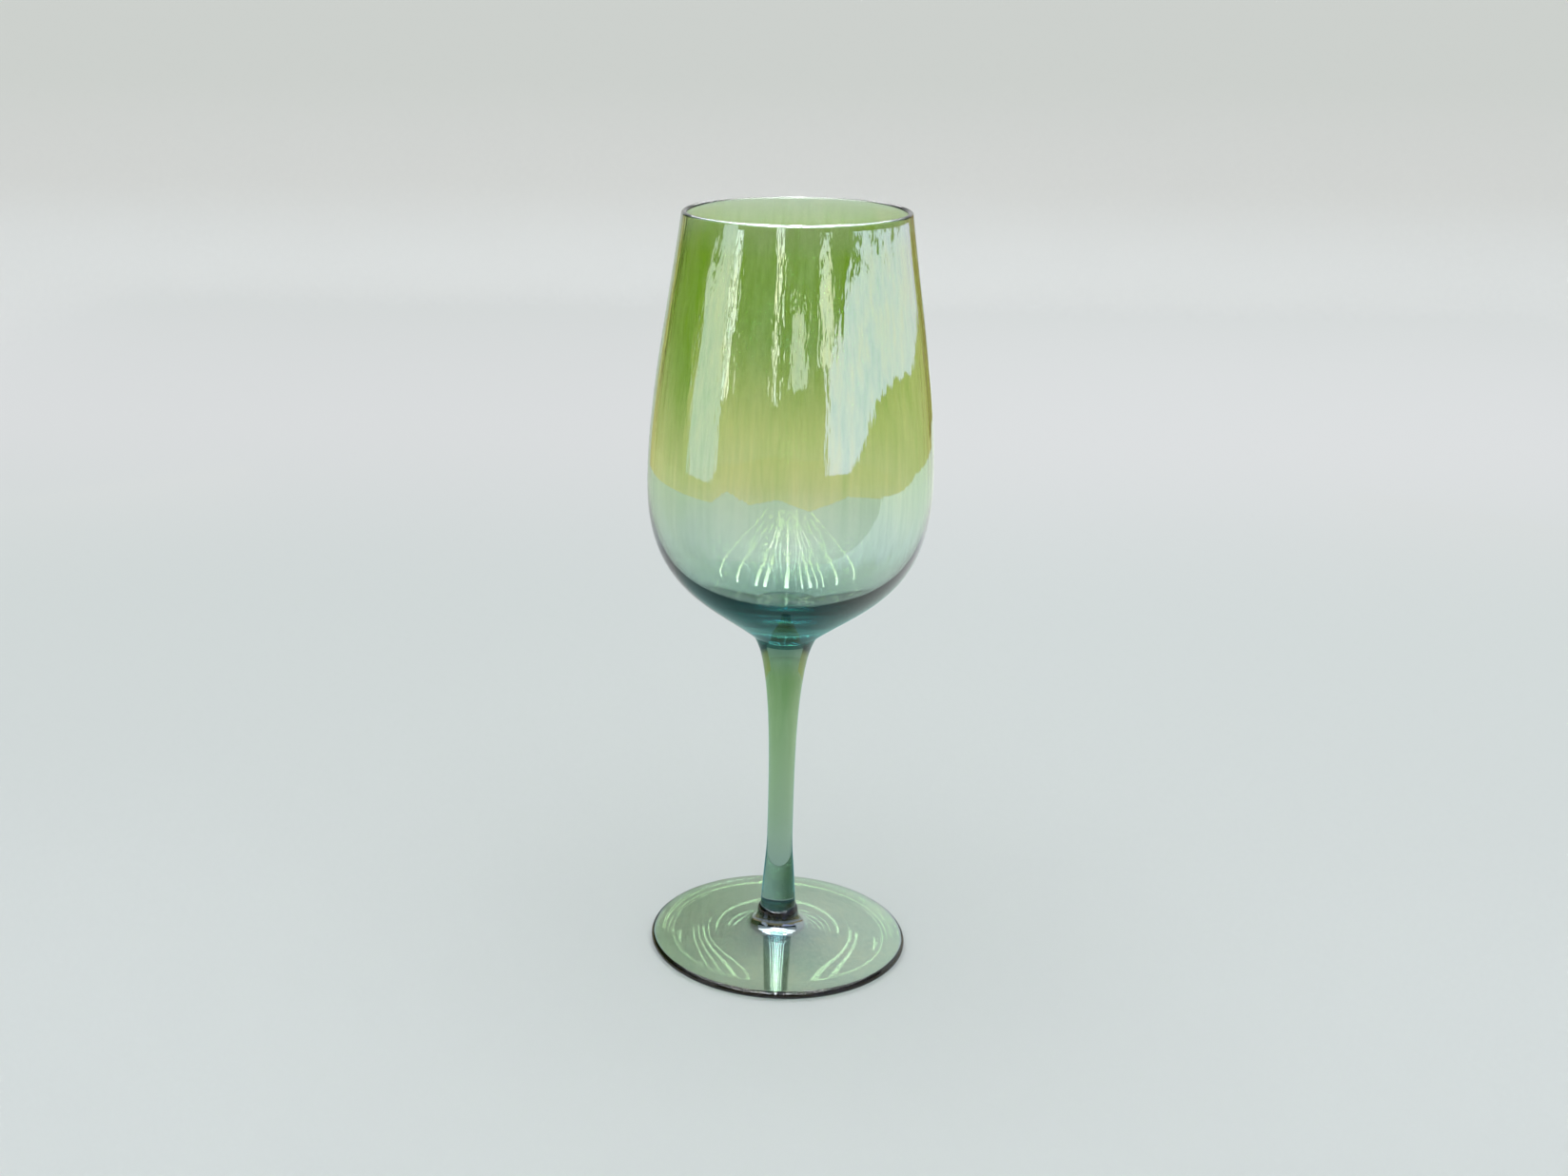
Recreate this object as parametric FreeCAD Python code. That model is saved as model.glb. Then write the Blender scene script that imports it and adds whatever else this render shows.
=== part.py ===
# Stemmed wine glass in green lustre glass: a blown bowl, a drawn solid stem and a pressed foot,
# fused to one another at two joint rings.
#
# Frame: millimetres, +Z up along the glass's axis, origin at the centre of the circle on which
# the foot rests. Every piece is a solid of revolution about Z, drawn as a closed outline in the
# XZ half-plane (x = radius, z = height).

import FreeCAD, Part
import math
import os

# ---------------------------------------------------------------- driving dimensions (mm, degrees)
GLASS_HEIGHT = 230.0

# bowl
LIP_BEAD_RADIUS = 0.85       # fire-polished bead that rounds off the rim
LIP_BEAD_CENTRE_R = 32.0     # radius of the circle that the bead's centre runs on
RIM_TAPER = 7.4              # how far the wall leans in at the rim, from vertical
BELLY_RADIUS = 42.1          # widest outer radius
BELLY_HEIGHT = 150.5
BELLY_WALL = 1.4             # wall thickness at the belly
UNDERSIDE_ANGLE = 38.8       # slope of the underside where it leaves the stem
BOWL_FLOOR_HEIGHT = 112.8    # lowest point of the inside
OUTER_RIM_PULL = 25.0        # the pulls are the lengths of the curves' end tangents
OUTER_BELLY_PULL_UP = 25.7
OUTER_BELLY_PULL_DOWN = 30.4
UNDERSIDE_PULL = 20.6
INNER_RIM_PULL = 25.0
INNER_BELLY_PULL_UP = 25.7
INNER_BELLY_PULL_DOWN = 27.0
FLOOR_PULL = 25.0

# joint of bowl and stem: the bowl's rounded bottom sits in the stem's dished top
BOWL_JOINT_RADIUS = 9.8
BOWL_JOINT_HEIGHT = 102.6
BOWL_JOINT_DISH = 2.2        # depth of the dish

# stem
STEM_WAIST_RADIUS = 3.93
STEM_WAIST_HEIGHT = 40.8
STEM_KNEE_RADIUS = 6.75      # where the stem starts to flare quickly under the bowl
STEM_KNEE_HEIGHT = 94.3
STEM_KNEE_ANGLE = 79.0       # slope at the knee, from horizontal
STEM_TOP_ANGLE = 58.0        # slope where the flare meets the bowl
STEM_FOOT_LEAN = 3.4         # how far the side leans in at the bottom, from vertical
STEM_TOP_PULL = 2.4
STEM_KNEE_PULL_UP = 3.5
STEM_KNEE_PULL_DOWN = 13.9
STEM_WAIST_PULL_UP = 22.6
STEM_WAIST_PULL_DOWN = 13.0
STEM_FOOT_PULL = 20.5

# joint of stem and foot: a flat face with softened edges, which leave a fine ring
FOOT_JOINT_HEIGHT = 12.0
FOOT_JOINT_RADIUS = 5.5      # outer radius of the stem just above the ring
JOINT_EDGE_ROUND = 0.35

# foot
COLLAR_RADIUS = 6.35         # short collar on which the stem stands
COLLAR_SHOULDER_DROP = 1.7   # height of the collar's rounded shoulder
SHOULDER_PULL_OUT = 0.7
SHOULDER_PULL_DOWN = 0.9
FILLET_END_RADIUS = 10.5     # where the collar's fillet runs into the foot's top
FILLET_END_HEIGHT = 5.3
FILLET_PULL_UP = 3.6
FILLET_PULL_OUT = 2.6
FOOT_RADIUS = 40.1
FOOT_TOP_ANGLE = 8.0         # slope of the top just outside the fillet
FOOT_RIM_ANGLE = 3.5         # slope of the top near the edge
FOOT_EDGE_THICKNESS = 2.5
FOOT_TOP_PULL = 9.0
REST_RING_INNER = 33.0       # flat ring on which the glass rests
REST_RING_OUTER = 38.6
HOLLOW_DEPTH = 1.5           # how far the underside is hollowed at its centre


# ---------------------------------------------------------------- outline helpers
def point(radius, height):
    return FreeCAD.Vector(radius, 0, height)


def step(start, angle, length):
    """The point reached from start by going length at angle above the horizontal."""
    turn = math.radians(angle)
    return start + FreeCAD.Vector(length * math.cos(turn), 0, length * math.sin(turn))


def line(start, end):
    return Part.LineSegment(start, end).toShape()


def arc(start, middle, end):
    return Part.Arc(start, middle, end).toShape()


def curve(start, start_angle, start_pull, end, end_angle, end_pull):
    """A cubic curve that leaves start at start_angle and reaches end at end_angle."""
    poles = [start, step(start, start_angle, start_pull), step(end, end_angle, -end_pull), end]
    bezier = Part.BezierCurve()
    bezier.setPoles(poles)
    return bezier.toShape()


def cap_middle(edge, dip):
    """The middle point of the arc that sinks by dip from edge to the axis, level at the axis."""
    radius = (edge.x ** 2 + dip ** 2) / (2 * dip)
    half_turn = math.asin(edge.x / radius) / 2
    return point(radius * math.sin(half_turn), edge.z - dip + radius * (1 - math.cos(half_turn)))


def revolve(edges):
    """Turns a closed outline, one of whose sides lies on the axis, into a solid."""
    face = Part.Face(Part.Wire(edges))
    return face.revolve(FreeCAD.Vector(0, 0, 0), FreeCAD.Vector(0, 0, 1), 360)


# ---------------------------------------------------------------- shared points
bowl_joint_edge = point(BOWL_JOINT_RADIUS, BOWL_JOINT_HEIGHT)
bowl_joint_centre = point(0, BOWL_JOINT_HEIGHT - BOWL_JOINT_DISH)
bowl_joint_middle = cap_middle(bowl_joint_edge, BOWL_JOINT_DISH)
foot_joint_edge = point(FOOT_JOINT_RADIUS - JOINT_EDGE_ROUND, FOOT_JOINT_HEIGHT)
foot_joint_centre = point(0, FOOT_JOINT_HEIGHT)


def bowl():
    """Open blown bowl: rounded lip, thin wall, and a solid bottom that meets the stem."""
    bead_centre = point(LIP_BEAD_CENTRE_R, GLASS_HEIGHT - LIP_BEAD_RADIUS)
    lip_outside = step(bead_centre, RIM_TAPER, LIP_BEAD_RADIUS)
    lip_top = point(LIP_BEAD_CENTRE_R, GLASS_HEIGHT)
    lip_inside = step(bead_centre, RIM_TAPER, -LIP_BEAD_RADIUS)
    belly_outside = point(BELLY_RADIUS, BELLY_HEIGHT)
    belly_inside = point(BELLY_RADIUS - BELLY_WALL, BELLY_HEIGHT)
    floor = point(0, BOWL_FLOOR_HEIGHT)
    wall_angle = 90 + RIM_TAPER
    return revolve([
        arc(bowl_joint_centre, bowl_joint_middle, bowl_joint_edge),
        curve(bowl_joint_edge, UNDERSIDE_ANGLE, UNDERSIDE_PULL, belly_outside, 90, OUTER_BELLY_PULL_DOWN),
        curve(belly_outside, 90, OUTER_BELLY_PULL_UP, lip_outside, wall_angle, OUTER_RIM_PULL),
        arc(lip_outside, lip_top, lip_inside),
        curve(lip_inside, wall_angle - 180, INNER_RIM_PULL, belly_inside, -90, INNER_BELLY_PULL_UP),
        curve(belly_inside, -90, INNER_BELLY_PULL_DOWN, floor, 180, FLOOR_PULL),
        line(floor, bowl_joint_centre),
    ])


def stem():
    """Solid drawn stem: slim waist, slow flare up to a knee, quick flare under the bowl."""
    bottom_side = point(FOOT_JOINT_RADIUS, FOOT_JOINT_HEIGHT + JOINT_EDGE_ROUND)
    rounding = JOINT_EDGE_ROUND * (1 - math.sqrt(0.5))
    bottom_corner = point(FOOT_JOINT_RADIUS - rounding, FOOT_JOINT_HEIGHT + rounding)
    waist = point(STEM_WAIST_RADIUS, STEM_WAIST_HEIGHT)
    knee = point(STEM_KNEE_RADIUS, STEM_KNEE_HEIGHT)
    side_angle = 90 + STEM_FOOT_LEAN
    return revolve([
        line(foot_joint_centre, foot_joint_edge),
        arc(foot_joint_edge, bottom_corner, bottom_side),
        curve(bottom_side, side_angle, STEM_FOOT_PULL, waist, 90, STEM_WAIST_PULL_DOWN),
        curve(waist, 90, STEM_WAIST_PULL_UP, knee, STEM_KNEE_ANGLE, STEM_KNEE_PULL_DOWN),
        curve(knee, STEM_KNEE_ANGLE, STEM_KNEE_PULL_UP, bowl_joint_edge, STEM_TOP_ANGLE, STEM_TOP_PULL),
        arc(bowl_joint_edge, bowl_joint_middle, bowl_joint_centre),
        line(bowl_joint_centre, foot_joint_centre),
    ])


def foot():
    """Pressed foot: collar under the stem, gently coned top, rounded edge, hollowed underside."""
    shoulder_end = point(COLLAR_RADIUS, FOOT_JOINT_HEIGHT - COLLAR_SHOULDER_DROP)
    fillet_end = point(FILLET_END_RADIUS, FILLET_END_HEIGHT)
    edge_half = FOOT_EDGE_THICKNESS / 2
    edge_top = point(FOOT_RADIUS - edge_half, FOOT_EDGE_THICKNESS)
    edge_tip = point(FOOT_RADIUS, edge_half)
    edge_bottom = point(REST_RING_OUTER, 0)
    ring_inner = point(REST_RING_INNER, 0)
    hollow_centre = point(0, HOLLOW_DEPTH)
    hollow_middle = cap_middle(ring_inner, -HOLLOW_DEPTH)
    return revolve([
        line(foot_joint_centre, foot_joint_edge),
        curve(foot_joint_edge, 0, SHOULDER_PULL_OUT, shoulder_end, -90, SHOULDER_PULL_DOWN),
        curve(shoulder_end, -90, FILLET_PULL_UP, fillet_end, -FOOT_TOP_ANGLE, FILLET_PULL_OUT),
        curve(fillet_end, -FOOT_TOP_ANGLE, FOOT_TOP_PULL, edge_top, -FOOT_RIM_ANGLE, FOOT_TOP_PULL),
        curve(edge_top, -FOOT_RIM_ANGLE, edge_half / 2, edge_tip, -90, edge_half / 2),
        curve(edge_tip, -90, edge_half / 2, edge_bottom, 180, edge_half / 2),
        line(edge_bottom, ring_inner),
        arc(ring_inner, hollow_middle, hollow_centre),
        line(hollow_centre, foot_joint_centre),
    ])


# ---------------------------------------------------------------- pieces
os.makedirs("parts", exist_ok=True)
for name, make in (("bowl", bowl), ("stem", stem), ("foot", foot)):
    piece = make()
    box = piece.BoundBox
    print(
        f"{name}: valid {piece.isValid()}, closed {piece.isClosed()},"
        f" volume {piece.Volume / 1000:.2f} cm3, radius {box.XMax:.2f}, z {box.ZMin:.2f} to {box.ZMax:.2f}"
    )
    piece.exportStep(f"parts/{name}.step")
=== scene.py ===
import math

import bmesh
import bpy
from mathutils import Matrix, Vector, noise

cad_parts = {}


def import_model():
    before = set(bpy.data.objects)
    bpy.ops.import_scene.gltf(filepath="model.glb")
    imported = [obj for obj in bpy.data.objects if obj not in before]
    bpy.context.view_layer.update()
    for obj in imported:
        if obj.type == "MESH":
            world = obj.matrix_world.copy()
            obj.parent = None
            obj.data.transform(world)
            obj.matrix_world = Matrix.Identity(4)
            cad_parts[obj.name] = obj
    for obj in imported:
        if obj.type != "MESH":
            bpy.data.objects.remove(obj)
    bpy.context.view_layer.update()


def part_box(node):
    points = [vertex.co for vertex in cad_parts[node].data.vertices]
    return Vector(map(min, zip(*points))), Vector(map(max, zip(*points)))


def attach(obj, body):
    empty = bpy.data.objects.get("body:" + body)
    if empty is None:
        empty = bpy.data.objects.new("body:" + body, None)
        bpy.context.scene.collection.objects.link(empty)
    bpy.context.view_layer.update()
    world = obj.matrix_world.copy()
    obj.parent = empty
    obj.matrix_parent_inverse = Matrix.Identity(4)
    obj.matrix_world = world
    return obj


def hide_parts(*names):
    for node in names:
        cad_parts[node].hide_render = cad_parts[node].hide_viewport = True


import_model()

MM = 0.001

# ---------------------------------------------------------------- sizes of the glass
# In metres and degrees. A pull is the length of a curve's end tangent, as in the CAD.
BOWL_LOW, BOWL_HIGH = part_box("bowl")
STEM_LOW, STEM_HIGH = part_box("stem")

HEIGHT = BOWL_HIGH.z
BELLY_RADIUS = BOWL_HIGH.x
FOOT_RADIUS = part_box("foot")[1].x
BOWL_JOINT = (STEM_HIGH.x, STEM_HIGH.z)
BOWL_JOINT_DISH = STEM_HIGH.z - BOWL_LOW.z
FOOT_JOINT_HEIGHT = STEM_LOW.z

LIP_BEAD_RADIUS = 0.85 * MM
LIP_BEAD_CENTRE_R = 32.0 * MM
RIM_TAPER = 7.4              # from vertical
BELLY_HEIGHT = 150.5 * MM
BELLY_WALL = 1.4 * MM
UNDERSIDE_ANGLE = 38.8
BOWL_FLOOR_HEIGHT = 112.8 * MM
OUTER_RIM_PULL = 25.0 * MM
OUTER_BELLY_PULL_UP = 25.7 * MM
OUTER_BELLY_PULL_DOWN = 30.4 * MM
UNDERSIDE_PULL = 20.6 * MM
INNER_RIM_PULL = 25.0 * MM
INNER_BELLY_PULL_UP = 25.7 * MM
INNER_BELLY_PULL_DOWN = 27.0 * MM
FLOOR_PULL = 25.0 * MM

STEM_WAIST = (3.93 * MM, 40.8 * MM)      # radius, height
STEM_KNEE = (6.75 * MM, 94.3 * MM)
STEM_KNEE_ANGLE = 79.0
STEM_TOP_ANGLE = 58.0
STEM_FOOT_LEAN = 3.4
STEM_TOP_PULL = 2.4 * MM
STEM_KNEE_PULL_UP = 3.5 * MM
STEM_KNEE_PULL_DOWN = 13.9 * MM
STEM_WAIST_PULL_UP = 22.6 * MM
STEM_WAIST_PULL_DOWN = 13.0 * MM
STEM_FOOT_PULL = 20.5 * MM

FOOT_JOINT_RADIUS = 5.5 * MM
JOINT_EDGE_ROUND = 0.35 * MM
COLLAR = (6.35 * MM, 10.3 * MM)
FILLET_END = (10.5 * MM, 5.3 * MM)
FOOT_TOP_ANGLE = 8.0
FOOT_RIM_ANGLE = 3.5
FOOT_EDGE_THICKNESS = 2.5 * MM
SHOULDER_PULL_OUT = 0.7 * MM
SHOULDER_PULL_DOWN = 0.9 * MM
FILLET_PULL_UP = 3.6 * MM
FILLET_PULL_OUT = 2.6 * MM
FOOT_TOP_PULL = 9.0 * MM
REST_RING_INNER = 33.0 * MM
REST_RING_OUTER = 38.6 * MM
HOLLOW_DEPTH = 1.5 * MM

SEGMENTS = 256               # round each ring of a lathed mesh
WALL_STEPS = 64              # along each long curve of the bowl
STEM_STEPS = (36, 48, 16)    # along the stem's curves, from the foot up
FOOT_TOP_STEPS = 48
HOLLOW_STEPS = 24
FILLET_STEPS = 16
CAP_STEPS = 10               # along the dished joint
LIP_STEPS = 10               # along each half of the lip's bead
SHOULDER_STEPS = 10
EDGE_STEPS = 8               # along each half of the foot's edge
ROUNDING_STEPS = 6
WAVES_ROUND = 2.2            # how fast the blown wall's waves change round the bowl
WAVE_LENGTH = 35.0 * MM      # and along it
ON_AXIS = 1e-9
BLOWN_WAVE = 0.03 * MM       # how far the blown wall waves in and out
FLAT_RADIUS = 20.0 * MM      # inside it the waves fade out towards the axis
JOINT_GAP = 0.02 * MM        # between the two faces of a fused joint, so that they don't coincide


# ---------------------------------------------------------------- outlines, as (radius, height)
def step(start, angle, length):
    """The point reached from start by going length at angle (degrees) above the horizontal."""
    turn = math.radians(angle)
    return (start[0] + length * math.cos(turn), start[1] + length * math.sin(turn))


def curve(start, start_angle, start_pull, end, end_angle, end_pull, steps):
    """Points of the cubic curve that leaves start at start_angle and reaches end at end_angle."""
    poles = (start, step(start, start_angle, start_pull), step(end, end_angle, -end_pull), end)
    points = []
    for i in range(steps + 1):
        t = i / steps
        weights = ((1 - t) ** 3, 3 * (1 - t) ** 2 * t, 3 * (1 - t) * t * t, t ** 3)
        points.append(tuple(sum(w * p[axis] for w, p in zip(weights, poles)) for axis in (0, 1)))
    return points


def arc(centre, radius, start_angle, end_angle, steps):
    """Points of an arc round centre, from start_angle to end_angle in degrees."""
    span = end_angle - start_angle
    return [step(centre, start_angle + span * i / steps, radius) for i in range(steps + 1)]


def cap(edge, dip, steps, lift=0.0):
    """Points of the arc that sinks by dip from edge to the axis, level at the axis."""
    radius = (edge[0] ** 2 + dip ** 2) / (2 * dip)
    full = math.asin(edge[0] / radius)
    points = []
    for i in range(steps + 1):
        turn = full * (1 - i / steps)
        points.append((radius * math.sin(turn), edge[1] - dip + radius * (1 - math.cos(turn)) + lift))
    points[-1] = (0.0, points[-1][1])
    return points


# ---------------------------------------------------------------- meshes
COATED, BARE, FUSED = "coated", "bare", "fused"      # what a stretch of an outline is


def ripple(height, turn):
    """Slow waves round and along a blown wall, from -1 to 1, the same on each run."""
    around = Vector((math.cos(turn), math.sin(turn), 0.0)) * WAVES_ROUND
    return noise.noise(around + Vector((0.0, 0.0, height / WAVE_LENGTH)))


def add_ring(mesh, radius, height, wave):
    """The points of an outline's point turned round the axis: one point where it is on the axis."""
    if radius < ON_AXIS:
        return [mesh.verts.new((0.0, 0.0, height))]
    ring = []
    for k in range(SEGMENTS):
        turn = 2 * math.pi * k / SEGMENTS
        waved = radius + wave * ripple(height, turn) * min(1.0, radius / FLAT_RADIUS)
        ring.append(mesh.verts.new((waved * math.cos(turn), waved * math.sin(turn), height)))
    return ring


def add_band(mesh, low, high):
    """The faces between two rings."""
    faces = []
    for k in range(SEGMENTS):
        n = (k + 1) % SEGMENTS
        if len(low) == 1:
            faces.append(mesh.faces.new((low[0], high[k], high[n])))
        elif len(high) == 1:
            faces.append(mesh.faces.new((low[k], high[0], low[n])))
        else:
            faces.append(mesh.faces.new((low[k], high[k], high[n], low[n])))
    return faces


def lathe(name, sections, wave=0.0):
    """A closed mesh turned from sections, which run from the axis and back to it.

    A section is (points, finish, sharp). It starts where the last one ends. sharp says that there
    is an edge between the two. Two face attributes keep the finish for the material.
    """
    mesh = bmesh.new()
    coat = mesh.faces.layers.float.new("coat")
    fused = mesh.faces.layers.float.new("fused")
    last = None
    for points, finish, sharp in sections:
        if last is None:
            last = add_ring(mesh, *points[0], wave)
        if sharp:
            for k in range(SEGMENTS):
                mesh.edges.get((last[k], last[(k + 1) % SEGMENTS])).smooth = False
        for radius, height in points[1:]:
            ring = add_ring(mesh, radius, height, wave)
            for face in add_band(mesh, last, ring):
                face.smooth = True
                face[coat] = float(finish == COATED)
                face[fused] = float(finish == FUSED)
            last = ring
    bmesh.ops.recalc_face_normals(mesh, faces=mesh.faces)
    data = bpy.data.meshes.new(name)
    mesh.to_mesh(data)
    mesh.free()
    piece = bpy.data.objects.new(name, data)
    bpy.context.scene.collection.objects.link(piece)
    return piece


def bowl():
    """Open blown bowl: rounded lip, thin wall, and a solid bottom that meets the stem."""
    bead = (LIP_BEAD_CENTRE_R, HEIGHT - LIP_BEAD_RADIUS)
    lip_out = step(bead, RIM_TAPER, LIP_BEAD_RADIUS)
    lip_in = step(bead, RIM_TAPER, -LIP_BEAD_RADIUS)
    belly_out = (BELLY_RADIUS, BELLY_HEIGHT)
    belly_in = (BELLY_RADIUS - BELLY_WALL, BELLY_HEIGHT)
    floor_centre = (0.0, BOWL_FLOOR_HEIGHT)
    wall = 90 + RIM_TAPER
    joint = cap(BOWL_JOINT, BOWL_JOINT_DISH, CAP_STEPS, JOINT_GAP)[::-1]
    underside = curve(BOWL_JOINT, UNDERSIDE_ANGLE, UNDERSIDE_PULL,
                      belly_out, 90, OUTER_BELLY_PULL_DOWN, WALL_STEPS)
    upper_outside = curve(belly_out, 90, OUTER_BELLY_PULL_UP, lip_out, wall, OUTER_RIM_PULL, WALL_STEPS)
    upper_inside = curve(lip_in, wall - 180, INNER_RIM_PULL,
                         belly_in, -90, INNER_BELLY_PULL_UP, WALL_STEPS)
    inner_bottom = curve(belly_in, -90, INNER_BELLY_PULL_DOWN, floor_centre, 180, FLOOR_PULL, WALL_STEPS)
    return lathe("blown_bowl", [
        (joint, FUSED, False),
        ([joint[-1]] + underside[1:], COATED, True),
        (upper_outside, COATED, False),
        (arc(bead, LIP_BEAD_RADIUS, RIM_TAPER, RIM_TAPER + 90, LIP_STEPS), COATED, False),
        (arc(bead, LIP_BEAD_RADIUS, RIM_TAPER + 90, RIM_TAPER + 180, LIP_STEPS), BARE, False),
        (upper_inside, BARE, False),
        (inner_bottom, BARE, False),
    ], BLOWN_WAVE)


def stem():
    """Solid drawn stem: slim waist, slow flare up to a knee, quick flare under the bowl."""
    corner = (FOOT_JOINT_RADIUS - JOINT_EDGE_ROUND, FOOT_JOINT_HEIGHT + JOINT_EDGE_ROUND)
    rounding = arc(corner, JOINT_EDGE_ROUND, -90, 0, ROUNDING_STEPS)
    side_steps, knee_steps, top_steps = STEM_STEPS
    lower_side = curve(rounding[-1], 90 + STEM_FOOT_LEAN, STEM_FOOT_PULL,
                       STEM_WAIST, 90, STEM_WAIST_PULL_DOWN, side_steps)
    upper_side = curve(STEM_WAIST, 90, STEM_WAIST_PULL_UP,
                       STEM_KNEE, STEM_KNEE_ANGLE, STEM_KNEE_PULL_DOWN, knee_steps)
    flare = curve(STEM_KNEE, STEM_KNEE_ANGLE, STEM_KNEE_PULL_UP,
                  BOWL_JOINT, STEM_TOP_ANGLE, STEM_TOP_PULL, top_steps)
    return lathe("drawn_stem", [
        ([(0.0, FOOT_JOINT_HEIGHT), rounding[0]], FUSED, False),
        (rounding, COATED, True),
        (lower_side, COATED, False),
        (upper_side, COATED, False),
        (flare, COATED, False),
        (cap(BOWL_JOINT, BOWL_JOINT_DISH, CAP_STEPS), FUSED, True),
    ])


def foot():
    """Pressed foot: collar under the stem, gently coned top, rounded edge, hollowed underside."""
    joint_edge = (FOOT_JOINT_RADIUS - JOINT_EDGE_ROUND, FOOT_JOINT_HEIGHT - JOINT_GAP)
    half = FOOT_EDGE_THICKNESS / 2
    edge_top = (FOOT_RADIUS - half, FOOT_EDGE_THICKNESS)
    edge_tip = (FOOT_RADIUS, half)
    ring_outer = (REST_RING_OUTER, 0.0)
    shoulder = curve(joint_edge, 0, SHOULDER_PULL_OUT, COLLAR, -90, SHOULDER_PULL_DOWN, SHOULDER_STEPS)
    fillet = curve(COLLAR, -90, FILLET_PULL_UP,
                   FILLET_END, -FOOT_TOP_ANGLE, FILLET_PULL_OUT, FILLET_STEPS)
    top = curve(FILLET_END, -FOOT_TOP_ANGLE, FOOT_TOP_PULL,
                edge_top, -FOOT_RIM_ANGLE, FOOT_TOP_PULL, FOOT_TOP_STEPS)
    hollow = cap((REST_RING_INNER, 0.0), HOLLOW_DEPTH, HOLLOW_STEPS)
    return lathe("pressed_foot", [
        ([(0.0, joint_edge[1]), joint_edge], FUSED, False),
        (shoulder, COATED, True),
        (fillet, COATED, False),
        (top, COATED, False),
        (curve(edge_top, -FOOT_RIM_ANGLE, half / 2, edge_tip, -90, half / 2, EDGE_STEPS), BARE, False),
        (curve(edge_tip, -90, half / 2, ring_outer, 180, half / 2, EDGE_STEPS), BARE, False),
        ([ring_outer, hollow[0]], BARE, False),
        ([(radius, -height) for radius, height in hollow], BARE, False),
    ])


# ---------------------------------------------------------------- materials
GLASS_IOR = 1.52
BARE_TINT = (0.97, 1.0, 0.98, 1)
JOINT_TINT = (0.5, 0.66, 0.66, 1)    # a fused joint lets less light through
COAT_DEEP = (0.42, 0.74, 0.02)       # the coat's tint where its bands are deep
COAT_PALE = (0.74, 0.96, 0.24)       # and where they are pale
COAT_TINT_AT = (0.4, 0.62)           # what the bands' noise is at the two
COAT_NOISE = (0.38, 0.62)            # the noise for the film's two thicknesses
COAT_THICKNESS = (43.0, 66.0)        # nanometres
COAT_IOR = 2.4
COAT_ROUGHNESS = 0.03                # where the film is full
COAT_PLACE = (-0.05, 0.07, 0.0)      # moves the coat's bands round the bowl
COAT_STRETCH = (1.0, 1.0, 0.03)      # draws them out along the glass
WIDE_BANDS = (45.0, 3.0)             # scale, detail and roughness of a noise
FINE_BANDS = (520.0, 2.0, 0.7)
FINE_SHARE = 0.45
STREAKS = (420.0, 3.0)
STREAK_DEPTH = 0.15 * MM
# height, and how much of the film, of the tint and of the streaks' depth the coat has there
COAT_BY_HEIGHT = (
    (0 * MM, 0.95, 0.66, 0.0),
    (5 * MM, 0.95, 0.66, 0.0),
    (12 * MM, 0.15, 0.1, 0.0),
    (45 * MM, 0.2, 0.5, 0.0),
    (90 * MM, 0.25, 0.78, 0.0),
    (103 * MM, 0.0, 0.4, 0.0),
    (120 * MM, 0.0, 0.2, 0.0),
    (130 * MM, 0.2, 0.22, 0.0),
    (145 * MM, 0.75, 0.6, 0.15),
    (160 * MM, 0.95, 0.9, 0.5),
    (195 * MM, 1.0, 1.0, 1.0),
    (221 * MM, 1.0, 1.0, 1.0),
    (230 * MM, 0.7, 0.45, 0.6),
)
# what each piece's glass lets through, and how dense it is (per metre)
BOWL_DEPTH = ((0.2, 0.5, 0.55), 120.0)
STEM_DEPTH = ((0.25, 0.44, 0.52), 125.0)
FOOT_DEPTH = ((0.16, 0.36, 0.52), 225.0)


def fill(ramp, stops):
    """Gives a colour ramp its stops, which are (position, colour)."""
    elements = ramp.color_ramp.elements
    while len(elements) < len(stops):
        elements.new(0.5)
    for element, (position, colour) in zip(elements, stops):
        element.position = position
        element.color = (*colour, 1)


def new_material(name):
    """An empty material, its nodes and its links."""
    material = bpy.data.materials.new(name)
    material.use_nodes = True
    material.node_tree.nodes.clear()
    return material, material.node_tree.nodes, material.node_tree.links


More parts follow.
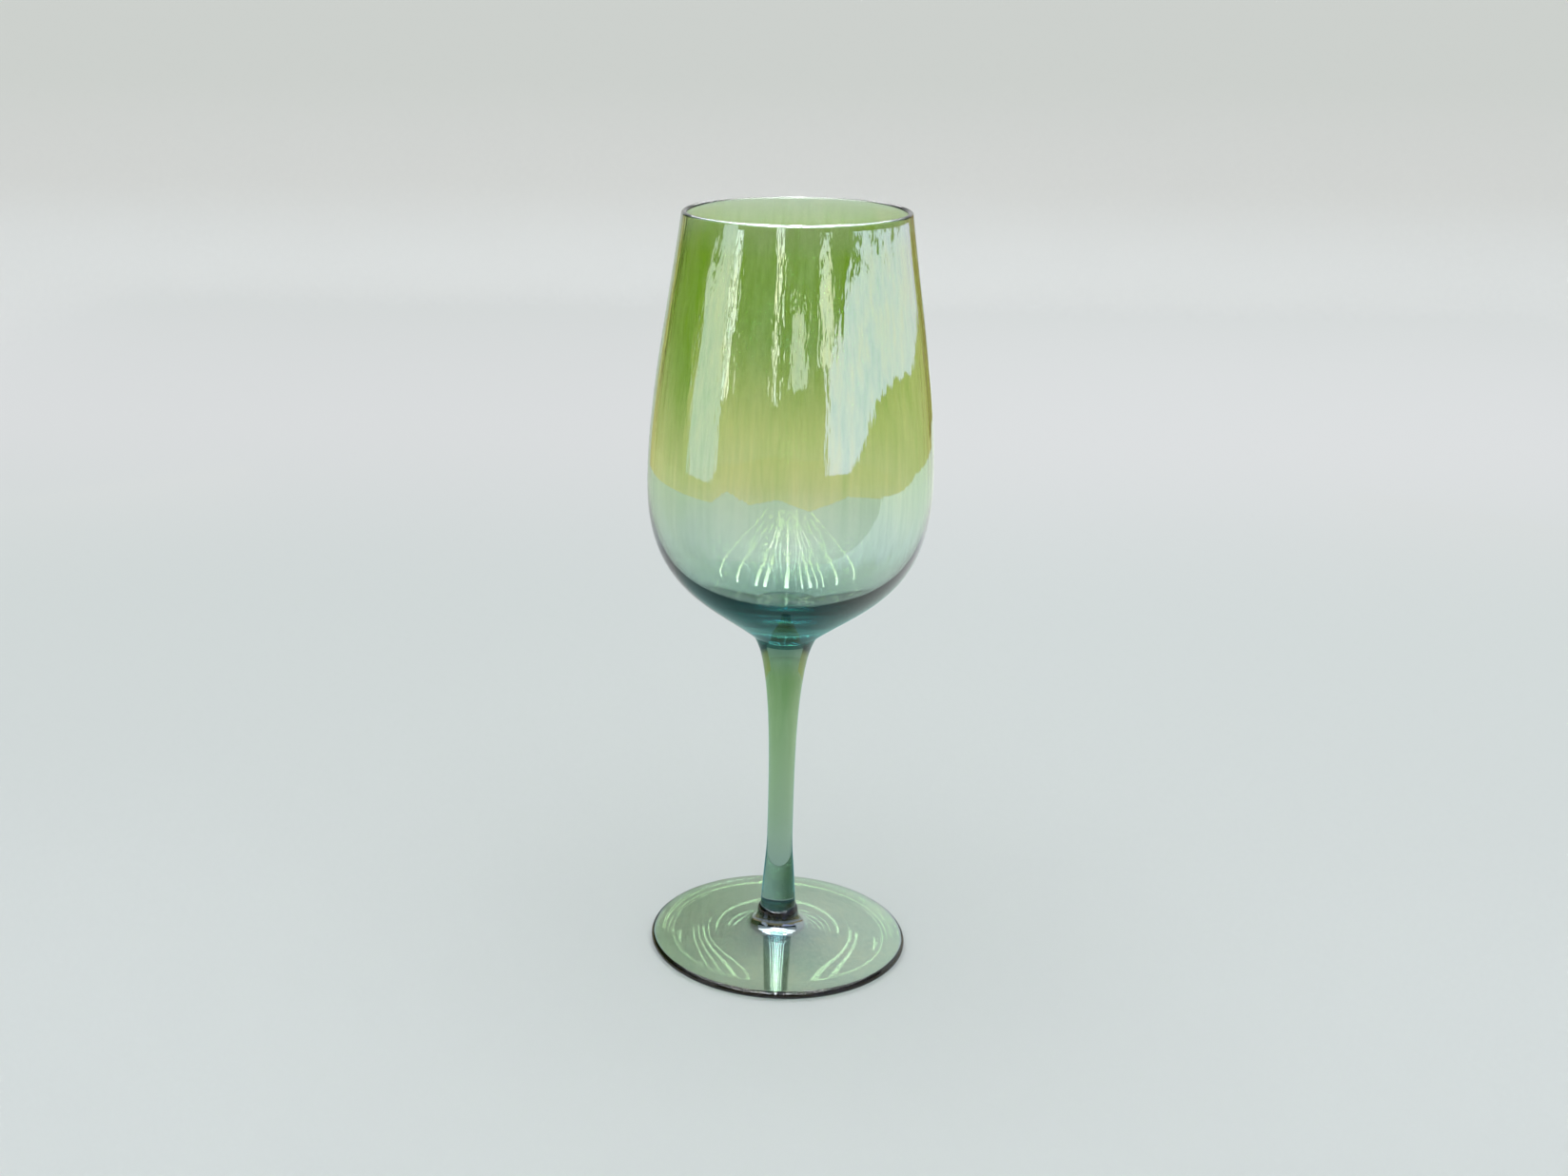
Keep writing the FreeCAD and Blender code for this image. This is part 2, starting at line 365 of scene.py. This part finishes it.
def glass_material(name, colour, density):
    """Glass, teal where it is thick, with a green lustre coat on its outside.

    The mesh's attributes say where the coat is and where pieces are fused. Light goes straight on
    through a fused face. The coat is a thin film and a tint, both in bands drawn out along the
    glass, and fine streaks in its surface.
    """
    material, nodes, links = new_material(name)
    out = nodes.new("ShaderNodeOutputMaterial")
    shader = nodes.new("ShaderNodeBsdfPrincipled")
    shader.inputs["Transmission Weight"].default_value = 1.0
    shader.inputs["Thin Film IOR"].default_value = COAT_IOR
    links.new(shader.outputs["BSDF"], out.inputs["Surface"])
    depth = nodes.new("ShaderNodeVolumeAbsorption")
    depth.inputs["Color"].default_value = (*colour, 1)
    depth.inputs["Density"].default_value = density
    links.new(depth.outputs["Volume"], out.inputs["Volume"])

    def attribute(name):
        node = nodes.new("ShaderNodeAttribute")
        node.attribute_name = name
        return node.outputs["Fac"]

    def mixed(kind, factor, first, second):
        """first where factor is 0 and second where it is 1; each a value or another node's output."""
        node = nodes.new("ShaderNodeMix")
        node.data_type = kind
        result = node.outputs[0 if kind == "FLOAT" else 2]
        if kind == "FLOAT":
            sockets = (node.inputs[0], node.inputs[2], node.inputs[3])
        else:
            sockets = (node.inputs[0], node.inputs[6], node.inputs[7])
        for socket, value in zip(sockets, (factor, first, second)):
            if isinstance(value, bpy.types.NodeSocket):
                links.new(value, socket)
            else:
                socket.default_value = value
        return result

    fused = attribute("fused")
    place = nodes.new("ShaderNodeTexCoord")
    split = nodes.new("ShaderNodeSeparateXYZ")
    links.new(place.outputs["Object"], split.inputs["Vector"])
    height = nodes.new("ShaderNodeMath")
    height.operation = "DIVIDE"
    height.inputs[1].default_value = HEIGHT
    links.new(split.outputs["Z"], height.inputs[0])
    amount = nodes.new("ShaderNodeValToRGB")
    fill(amount, [(at / HEIGHT, parts) for at, *parts in COAT_BY_HEIGHT])
    links.new(height.outputs["Value"], amount.inputs["Fac"])
    shares = nodes.new("ShaderNodeSeparateColor")
    on_coat = mixed("RGBA", attribute("coat"), (0, 0, 0, 1), amount.outputs["Color"])
    links.new(on_coat, shares.inputs["Color"])
    film_share, tint_share = shares.outputs["Red"], shares.outputs["Green"]
    stretch = nodes.new("ShaderNodeMapping")
    stretch.inputs["Location"].default_value = COAT_PLACE
    stretch.inputs["Scale"].default_value = COAT_STRETCH
    links.new(place.outputs["Object"], stretch.inputs["Vector"])

    def streaks(scale, detail, roughness=0.5):
        node = nodes.new("ShaderNodeTexNoise")
        node.inputs["Scale"].default_value = scale
        node.inputs["Detail"].default_value = detail
        node.inputs["Roughness"].default_value = roughness
        links.new(stretch.outputs["Vector"], node.inputs["Vector"])
        return node.outputs["Fac"]

    bump = nodes.new("ShaderNodeBump")
    bump.inputs["Distance"].default_value = STREAK_DEPTH
    links.new(streaks(*STREAKS), bump.inputs["Height"])
    links.new(shares.outputs["Blue"], bump.inputs["Strength"])
    links.new(bump.outputs["Normal"], shader.inputs["Normal"])

    bands = mixed("FLOAT", FINE_SHARE, streaks(*WIDE_BANDS), streaks(*FINE_BANDS))
    film = nodes.new("ShaderNodeMapRange")
    for end, noise_there, film_there in zip(("Min", "Max"), COAT_NOISE, COAT_THICKNESS):
        film.inputs["From " + end].default_value = noise_there
        film.inputs["To " + end].default_value = film_there
    links.new(bands, film.inputs["Value"])
    thickness = mixed("FLOAT", film_share, 0.0, film.outputs["Result"])
    links.new(thickness, shader.inputs["Thin Film Thickness"])
    links.new(mixed("FLOAT", fused, GLASS_IOR, 1.0), shader.inputs["IOR"])
    rough = nodes.new("ShaderNodeMath")
    rough.operation = "MULTIPLY"
    rough.inputs[1].default_value = COAT_ROUGHNESS
    links.new(film_share, rough.inputs[0])
    links.new(rough.outputs["Value"], shader.inputs["Roughness"])

    tint = nodes.new("ShaderNodeValToRGB")
    fill(tint, list(zip(COAT_TINT_AT, (COAT_DEEP, COAT_PALE))))
    links.new(bands, tint.inputs["Fac"])
    outside = mixed("RGBA", tint_share, BARE_TINT, tint.outputs["Color"])
    links.new(mixed("RGBA", fused, outside, JOINT_TINT), shader.inputs["Base Color"])
    return material


for make, node, depth in ((bowl, "bowl", BOWL_DEPTH), (stem, "stem", STEM_DEPTH),
                          (foot, "foot", FOOT_DEPTH)):
    piece = make()
    piece.data.materials.append(glass_material(node + "_glass", *depth))
    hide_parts(node)
    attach(piece, "root")


# ---------------------------------------------------------------- floor
FLOOR_RADIUS = 60.0
FLOOR_DROP = 0.05 * MM               # keeps the floor clear of the ring on which the glass rests
FLOOR_ROUGHNESS = 0.8
FLOOR_SPECULAR = 0.2
FLOOR_PAINTED_LIGHT_SPAN = (-1.0, 5.0)             # the depths between which the floor's colour, with its painted light, changes
# depth behind the glass, and the floor's colour there: pale, with painted light that is brightest about
# 0.7 m behind the glass and darker far back
FLOOR_PAINTED_LIGHT_BY_DEPTH = (
    (-0.3, (0.71, 0.745, 0.75)),
    (0.3, (0.715, 0.75, 0.75)),
    (0.7, (0.79, 0.79, 0.80)),
    (1.3, (0.75, 0.76, 0.755)),
    (2.2, (0.70, 0.70, 0.68)),
    (4.5, (0.67, 0.68, 0.65)),
)


def floor():
    """A pale floor with painted light: its colour is brightest in a band a little behind the glass and
    darker far back, as if soft light fell there.
    """
    mesh = bmesh.new()
    bmesh.ops.create_circle(mesh, cap_ends=True, segments=128, radius=FLOOR_RADIUS)
    data = bpy.data.meshes.new("floor")
    mesh.to_mesh(data)
    mesh.free()
    piece = bpy.data.objects.new("floor", data)
    piece.location.z = -FLOOR_DROP
    bpy.context.scene.collection.objects.link(piece)
    material, nodes, links = new_material("pale_floor_painted_light")
    out = nodes.new("ShaderNodeOutputMaterial")
    shader = nodes.new("ShaderNodeBsdfPrincipled")
    place = nodes.new("ShaderNodeTexCoord")
    split = nodes.new("ShaderNodeSeparateXYZ")
    links.new(place.outputs["Object"], split.inputs["Vector"])
    near, far = FLOOR_PAINTED_LIGHT_SPAN
    depth = nodes.new("ShaderNodeMapRange")
    depth.inputs["From Min"].default_value = near
    depth.inputs["From Max"].default_value = far
    links.new(split.outputs["Y"], depth.inputs["Value"])
    # painted light: this ramp makes the floor brighter in a band behind the glass and darker far back
    ramp = nodes.new("ShaderNodeValToRGB")
    ramp.color_ramp.interpolation = "EASE"
    fill(ramp, [((at - near) / (far - near), colour) for at, colour in FLOOR_PAINTED_LIGHT_BY_DEPTH])
    links.new(depth.outputs["Result"], ramp.inputs["Fac"])
    links.new(ramp.outputs["Color"], shader.inputs["Base Color"])
    shader.inputs["Roughness"].default_value = FLOOR_ROUGHNESS
    shader.inputs["Specular IOR Level"].default_value = FLOOR_SPECULAR
    links.new(shader.outputs["BSDF"], out.inputs["Surface"])
    data.materials.append(material)


floor()


# ---------------------------------------------------------------- studio
CARD_RADIUS = 0.62
CARD_STEP = 4                        # degrees between the columns of a card
INNER_RADIUS = 0.60                  # for cards that stand before the others
ROOM_RADIUS = 0.66                   # and for the one behind them all

TUBE_HEIGHT = 0.95
TUBE_ENDS = (-1.2, 1.8)              # y
TUBE_LEVEL = 25.0
TUBES = (                            # x, width
    (-0.5, 0.02), (-0.3, 0.02), (-0.19, 0.008), (-0.15, 0.008), (-0.11, 0.014), (-0.07, 0.008),
    (0.0, 0.02), (0.1, 0.02), (0.15, 0.02), (0.3, 0.02), (0.5, 0.02),
)
CROSSBAR = ((-0.4, -0.05), (0.4, -0.04))
CROSSBAR_LEVEL = 15.0

FLAG_RADIUS = 0.18
FLAG_HEIGHTS = (0.014, 0.02)         # at its centre and at its rim
FLAG_SEGMENTS = 96
FLAG_COLOURS = ((0.0, (0.28, 0.55, 0.53)), (0.3, (0.20, 0.48, 0.46)), (0.7, (0.38, 0.62, 0.60)),
                (1.0, (0.6, 0.68, 0.66)))

FOOT_LIGHT_CORNERS = ((-0.6, 0.045), (-0.6, 1.2), (0.6, 1.2), (0.6, 0.045))
FOOT_LIGHT_HEIGHT = 0.1
FOOT_LIGHT_COLOURS = ((0.0, (0.10, 0.13, 0.05)), (0.40, (0.12, 0.15, 0.06)),
                      (0.49, (0.60, 0.64, 0.56)), (0.58, (1.0, 1.06, 1.04)), (1.0, (1.0, 1.06, 1.04)))

SIDE_LIGHT_CORNERS = ((0.02, -0.15), (0.6, -0.15), (0.6, 0.9), (0.02, 0.9))
SIDE_LIGHT_HEIGHT = 0.024
SIDE_LIGHT_COLOURS = ((0.0, (0.24, 0.50, 0.48)), (0.1, (0.7, 0.85, 0.8)), (0.2, (1.05, 1.1, 1.1)),
                      (1.0, (1.05, 1.1, 1.1)))


def plain(level, tint=(1, 1, 1)):
    """The colours of a sheet that is the same all over."""
    colour = tuple(level * t for t in tint)
    return ((0.0, colour), (1.0, colour))


def reflected(name, mesh, colours, through_glass=False, axis="Z"):
    """Makes mesh a glowing sheet that is seen only in reflections, and perhaps through the glass.

    colours run from one end of the sheet to the other along axis.
    """
    data = bpy.data.meshes.new(name)
    mesh.to_mesh(data)
    mesh.free()
    piece = bpy.data.objects.new(name, data)
    bpy.context.scene.collection.objects.link(piece)
    piece.visible_camera = False
    piece.visible_diffuse = False
    piece.visible_transmission = through_glass
    piece.visible_shadow = False
    material, nodes, links = new_material(name)
    out = nodes.new("ShaderNodeOutputMaterial")
    glow = nodes.new("ShaderNodeEmission")
    links.new(glow.outputs["Emission"], out.inputs["Surface"])
    place = nodes.new("ShaderNodeTexCoord")
    split = nodes.new("ShaderNodeSeparateXYZ")
    links.new(place.outputs["Generated"], split.inputs["Vector"])
    ramp = nodes.new("ShaderNodeValToRGB")
    fill(ramp, colours)
    links.new(split.outputs[axis], ramp.inputs["Fac"])
    links.new(ramp.outputs["Color"], glow.inputs["Color"])
    material.cycles.emission_sampling = "NONE"
    data.materials.append(material)
    return material


def card(name, corners, colours, radius=CARD_RADIUS, **rest):
    """A card bent round the glass.

    corners are (bearing, low, high) from left to right: bearings in degrees from the front (-Y),
    positive towards +X, and heights.
    """
    mesh = bmesh.new()
    columns = []
    for (start, low, high), (end, next_low, next_high) in zip(corners, corners[1:]):
        steps = max(1, round(abs(end - start) / CARD_STEP))
        for i in range(steps):
            t = i / steps
            columns.append((start + (end - start) * t, low + (next_low - low) * t,
                            high + (next_high - high) * t))
    columns.append(corners[-1])
    pairs = []
    for bearing, low, high in columns:
        turn = math.radians(bearing)
        x, y = radius * math.sin(turn), -radius * math.cos(turn)
        pairs.append([mesh.verts.new((x, y, z)) for z in (low, high)])
    for a, b in zip(pairs, pairs[1:]):
        mesh.faces.new((a[0], b[0], b[1], a[1]))
    reflected(name, mesh, colours, **rest)


def level_sheet(corners, height):
    """The mesh of a level sheet. It faces up if its corners (x, y) run counter-clockwise."""
    mesh = bmesh.new()
    mesh.faces.new([mesh.verts.new((*corner, height)) for corner in corners])
    return mesh


def tube(name, low, high, level):
    """A narrow light overhead, between the corners low and high (x, y)."""
    corners = (low, (high[0], low[1]), high, (low[0], high[1]))
    reflected(name, level_sheet(corners, TUBE_HEIGHT), plain(level), through_glass=True)


def from_one_side(material):
    """Lets a glowing sheet be seen only from the side that its faces look to."""
    nodes, links = material.node_tree.nodes, material.node_tree.links
    side = nodes.new("ShaderNodeNewGeometry")
    clear = nodes.new("ShaderNodeBsdfTransparent")
    mix = nodes.new("ShaderNodeMixShader")
    links.new(side.outputs["Backfacing"], mix.inputs["Fac"])
    links.new(nodes["Emission"].outputs["Emission"], mix.inputs[1])
    links.new(clear.outputs["BSDF"], mix.inputs[2])
    links.new(mix.outputs["Shader"], nodes["Material Output"].inputs["Surface"])


def flag():
    """A dark sheet just over the foot, seen only from above, that darkens the bowl's underside."""
    middle, edge = FLAG_HEIGHTS
    mesh = bmesh.new()
    centre = mesh.verts.new((0.0, 0.0, middle))
    rim = []
    for k in range(FLAG_SEGMENTS):
        turn = 2 * math.pi * k / FLAG_SEGMENTS
        rim.append(mesh.verts.new((FLAG_RADIUS * math.cos(turn), FLAG_RADIUS * math.sin(turn), edge)))
    for a, b in zip(rim, rim[1:] + rim[:1]):
        mesh.faces.new((centre, a, b))
    from_one_side(reflected("flag", mesh, FLAG_COLOURS))


def foot_light():
    """A low ceiling behind the stem, seen only from below, that the top of the foot mirrors."""
    mesh = level_sheet(FOOT_LIGHT_CORNERS, FOOT_LIGHT_HEIGHT)
    from_one_side(reflected("foot_light", mesh, FOOT_LIGHT_COLOURS, axis="X"))


def side_light():
    """A bright sheet low on the right, seen only from above, that the bowl's lower right mirrors."""
    mesh = level_sheet(SIDE_LIGHT_CORNERS, SIDE_LIGHT_HEIGHT)
    from_one_side(reflected("side_light", mesh, SIDE_LIGHT_COLOURS, axis="X"))


# a dark room round the front and sides, olive low down
card("dark_room", ((-150, 0.0, 0.45), (-62, 0.0, 0.45), (-48, 0.035, 0.45), (-30, 0.01, 0.45),
                   (-8, 0.03, 0.45), (15, 0.0, 0.45), (45, 0.03, 0.45), (75, 0.01, 0.45),
                   (150, 0.0, 0.45)),
     ((0.0, (0.80, 0.66, 0.36)), (0.34, (0.62, 0.5, 0.24)), (0.6, (0.03, 0.03, 0.02)),
      (1.0, (0.03, 0.03, 0.02))), radius=ROOM_RADIUS, through_glass=True)
# before it, the things that the bowl's highlights are
card("window", ((28, 0.09, 0.235), (47, 0.087, 0.28), (60, 0.14, 0.281), (70, 0.174, 0.273),
                (91, 0.177, 0.254), (115, 0.15, 0.228), (138, 0.16, 0.205)),
     plain(1.25, (0.97, 0.94, 1.22)), radius=INNER_RADIUS)
card("warm_edge", ((142, 0.05, 0.3), (160, 0.05, 0.3)), plain(1.0, (0.42, 0.3, 0.12)),
     radius=INNER_RADIUS)
card("dark_edge", ((-140, 0.05, 0.3), (-91, 0.05, 0.3)),
     ((0.0, (0.68, 0.54, 0.28)), (0.45, (0.1, 0.12, 0.04)), (1.0, (0.03, 0.05, 0.02))),
     radius=INNER_RADIUS)
card("pale_wall", ((-86, 0.05, 0.25), (-73, 0.05, 0.27), (-64, 0.05, 0.5), (-58, 0.08, 0.5)),
     plain(0.95))
card("panel_middle", ((-1, 0.22, 0.29), (11, 0.22, 0.29)), plain(0.9))
card("panel_right", ((22, 0.24, 0.30), (32, 0.24, 0.30)), plain(1.2))
card("strip_left", ((-57, 0.18, 0.29), (-52, 0.2, 0.29)), plain(1.8))
card("strip_middle", ((-15, 0.20, 1.0), (-12, 0.20, 1.0)), plain(1.8))
# and overhead, the lights that fan out in the bottom of the bowl
for number, (x, width) in enumerate(TUBES):
    tube("tube_%d" % number, (x - width / 2, TUBE_ENDS[0]), (x + width / 2, TUBE_ENDS[1]), TUBE_LEVEL)
tube("crossbar", *CROSSBAR, CROSSBAR_LEVEL)
flag()
foot_light()
side_light()


WORLD_TINT = (0.97, 1.0, 1.0)
# how far up (0 straight down, 0.5 level, 1 straight up), and how bright it is there
WORLD_BY_ELEVATION = ((0.0, 0.72), (0.16, 0.72), (0.30, 0.5), (0.72, 0.5), (0.85, 1.6), (1.0, 1.6))
BACKDROP = (0.68, 0.70, 0.70, 1)


def world():
    """Soft light all round, brightest overhead, and a plain backdrop."""
    scene_world = bpy.data.worlds.new("studio")
    bpy.context.scene.world = scene_world
    scene_world.use_nodes = True
    nodes, links = scene_world.node_tree.nodes, scene_world.node_tree.links
    nodes.clear()
    out = nodes.new("ShaderNodeOutputWorld")
    place = nodes.new("ShaderNodeTexCoord")
    split = nodes.new("ShaderNodeSeparateXYZ")
    links.new(place.outputs["Generated"], split.inputs["Vector"])
    ramp = nodes.new("ShaderNodeValToRGB")
    fill(ramp, [(position, [level * t for t in WORLD_TINT]) for position, level in WORLD_BY_ELEVATION])
    links.new(split.outputs["Z"], ramp.inputs["Fac"])
    soft = nodes.new("ShaderNodeBackground")
    links.new(ramp.outputs["Color"], soft.inputs["Color"])
    backdrop = nodes.new("ShaderNodeBackground")
    backdrop.inputs["Color"].default_value = BACKDROP
    path = nodes.new("ShaderNodeLightPath")
    mix = nodes.new("ShaderNodeMixShader")
    links.new(path.outputs["Is Camera Ray"], mix.inputs["Fac"])
    links.new(soft.outputs["Background"], mix.inputs[1])
    links.new(backdrop.outputs["Background"], mix.inputs[2])
    links.new(mix.outputs["Shader"], out.inputs["Surface"])


world()


# ---------------------------------------------------------------- camera
SENSOR_WIDTH = 36.0                  # millimetres, as the lens
LENS = 44.8
SHIFT = 0.1035                       # the lens's axis is left of the picture's middle
CLIP = (0.01, 100.0)
EYE = (0.0, -0.5608, 0.2999)
PITCH_DOWN = math.radians(18.09)
YAW_RIGHT = math.radians(-5.08)


def camera():
    data = bpy.data.cameras.new("camera")
    data.sensor_width = SENSOR_WIDTH
    data.lens = LENS
    data.shift_x = SHIFT
    data.clip_start, data.clip_end = CLIP
    eye = bpy.data.objects.new("camera", data)
    bpy.context.scene.collection.objects.link(eye)
    eye.location = EYE
    level = math.cos(PITCH_DOWN)
    forward = Vector((math.sin(YAW_RIGHT) * level, math.cos(YAW_RIGHT) * level, -math.sin(PITCH_DOWN)))
    eye.rotation_mode = "QUATERNION"
    eye.rotation_quaternion = forward.to_track_quat("-Z", "Y")
    bpy.context.scene.camera = eye


camera()
bpy.context.scene.view_settings.view_transform = "Standard"
bpy.context.scene.cycles.max_bounces = 24
bpy.context.scene.cycles.transmission_bounces = 24
bpy.context.scene.cycles.glossy_bounces = 8
